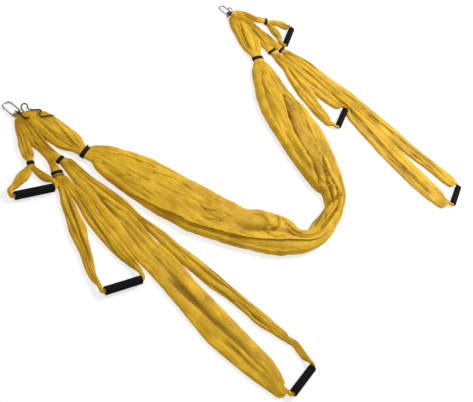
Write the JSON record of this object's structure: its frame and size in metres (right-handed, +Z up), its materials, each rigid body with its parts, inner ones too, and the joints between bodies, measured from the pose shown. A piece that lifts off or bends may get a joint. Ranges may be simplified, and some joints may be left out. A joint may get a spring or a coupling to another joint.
{
  "type": "yoga trapeze swing",
  "caption": "Aerial yoga swing laid out flat: gathered golden cloth hammock, looped handle slings with foam grips, webbing bands and carabiners.",
  "frame": {"origin": "under the middle of the laid out swing, on the floor", "axes": "+Z up from the floor; the slings run along +X from the carabiners; the two carabiners are apart along Y, the near one at -Y"},
  "size_m": [1.5207, 1.663, 0.0435],
  "materials": {
    "gold_cloth": "satin",
    "black_webbing": "matte",
    "black_cord": "matte",
    "black_foam": "matte",
    "grip_tube": "matte",
    "silver_steel": "polished"
  },
  "bodies": {
    "hammock": {"hammock_cloth": "gold_cloth", "near_hammock_band": "black_webbing", "far_hammock_band": "black_webbing", "near_tie_cord": "black_cord", "far_tie_cord": "black_cord"},
    "near_carabiner": {"near_carabiner_body": "silver_steel", "near_gate_pin": "silver_steel"},
    "near_gate": {"near_carabiner_gate": "silver_steel"},
    "far_carabiner": {"far_carabiner_body": "silver_steel", "far_gate_pin": "silver_steel"},
    "far_gate": {"far_carabiner_gate": "silver_steel"},
    "near_short_sling": {"near_short_sling": "gold_cloth", "near_short_band": "black_webbing"},
    "near_short_grip": {"near_short_grip_tube": "grip_tube", "near_short_grip_foam": "black_foam"},
    "near_medium_sling": {"near_medium_sling": "gold_cloth", "near_medium_band": "black_webbing"},
    "near_medium_grip": {"near_medium_grip_tube": "grip_tube", "near_medium_grip_foam": "black_foam"},
    "near_long_sling": {"near_long_sling": "gold_cloth", "near_long_band": "black_webbing"},
    "near_long_grip": {"near_long_grip_tube": "grip_tube", "near_long_grip_foam": "black_foam"},
    "far_short_sling": {"far_short_sling": "gold_cloth", "far_short_band": "black_webbing"},
    "far_short_grip": {"far_short_grip_tube": "grip_tube", "far_short_grip_foam": "black_foam"},
    "far_medium_sling": {"far_medium_sling": "gold_cloth", "far_medium_band": "black_webbing"},
    "far_medium_grip": {"far_medium_grip_tube": "grip_tube", "far_medium_grip_foam": "black_foam"},
    "far_long_sling": {"far_long_sling": "gold_cloth", "far_long_band": "black_webbing"},
    "far_long_grip": {"far_long_grip_tube": "grip_tube", "far_long_grip_foam": "black_foam"}
  },
  "joints": [
    {"name": "near_carabiner_swing", "type": "hinge", "parent": "hammock", "child": "near_carabiner", "pos_m": [-0.7036, -0.5761, 0.00794], "axis": [0, 1, 0], "range_deg": [0, 90]},
    {"name": "near_gate_hinge", "type": "hinge", "parent": "near_carabiner", "child": "near_gate", "pos_m": [-0.71505, -0.5931, 0.00689], "axis": [0.0916, 0, -0.9958], "range_deg": [0, 28], "stiffness_Nm_per_rad": 0.05, "springref_deg": -11.46},
    {"name": "far_carabiner_swing", "type": "hinge", "parent": "hammock", "child": "far_carabiner", "pos_m": [-0.5856, 0.5659, 0.00794], "axis": [0, 1, 0], "range_deg": [0, 90]},
    {"name": "far_gate_hinge", "type": "hinge", "parent": "far_carabiner", "child": "far_gate", "pos_m": [-0.59705, 0.5829, 0.00689], "axis": [-0.0916, 0, 0.9958], "range_deg": [0, 28], "stiffness_Nm_per_rad": 0.05, "springref_deg": -11.46},
    {"name": "near_short_lift", "type": "hinge", "parent": "hammock", "child": "near_short_sling", "pos_m": [-0.7036, -0.5761, 0.00794], "axis": [0, -1, 0], "range_deg": [0, 60]},
    {"name": "near_short_grip_spin", "type": "hinge", "parent": "near_short_sling", "child": "near_short_grip", "pos_m": [-0.4591, -0.7408, 0.014], "axis": [0.4226, 0.9063, 0], "continuous": true},
    {"name": "near_medium_lift", "type": "hinge", "parent": "hammock", "child": "near_medium_sling", "pos_m": [-0.7036, -0.5761, 0.00794], "axis": [0, -1, 0], "range_deg": [0, 60]},
    {"name": "near_medium_grip_spin", "type": "hinge", "parent": "near_medium_sling", "child": "near_medium_grip", "pos_m": [-0.0596, -0.764, 0.014], "axis": [0.4384, 0.8988, 0], "continuous": true},
    {"name": "near_long_lift", "type": "hinge", "parent": "hammock", "child": "near_long_sling", "pos_m": [-0.7036, -0.5761, 0.00794], "axis": [0, -1, 0], "range_deg": [0, 60], "deforming": ["near_tie_cord"]},
    {"name": "near_long_grip_spin", "type": "hinge", "parent": "near_long_sling", "child": "near_long_grip", "pos_m": [0.5764, -0.5691, 0.014], "axis": [0.0872, 0.9962, 0], "continuous": true},
    {"name": "far_short_lift", "type": "hinge", "parent": "hammock", "child": "far_short_sling", "pos_m": [-0.5856, 0.5659, 0.00794], "axis": [0, -1, 0], "range_deg": [0, 60]},
    {"name": "far_short_grip_spin", "type": "hinge", "parent": "far_short_sling", "child": "far_short_grip", "pos_m": [-0.3351, 0.7357, 0.014], "axis": [-0.3007, 0.9537, 0], "continuous": true},
    {"name": "far_medium_lift", "type": "hinge", "parent": "hammock", "child": "far_medium_sling", "pos_m": [-0.5856, 0.5659, 0.00794], "axis": [0, -1, 0], "range_deg": [0, 60], "deforming": ["far_tie_cord"]},
    {"name": "far_medium_grip_spin", "type": "hinge", "parent": "far_medium_sling", "child": "far_medium_grip", "pos_m": [0.1021, 0.5697, 0.014], "axis": [-0.1994, 0.9799, 0], "continuous": true},
    {"name": "far_long_lift", "type": "hinge", "parent": "hammock", "child": "far_long_sling", "pos_m": [-0.5856, 0.5659, 0.00794], "axis": [0, -1, 0], "range_deg": [0, 60]},
    {"name": "far_long_grip_spin", "type": "hinge", "parent": "far_long_sling", "child": "far_long_grip", "pos_m": [0.7395, 0.7319, 0.014], "axis": [-0.1132, 0.9936, 0], "continuous": true}
  ]
}
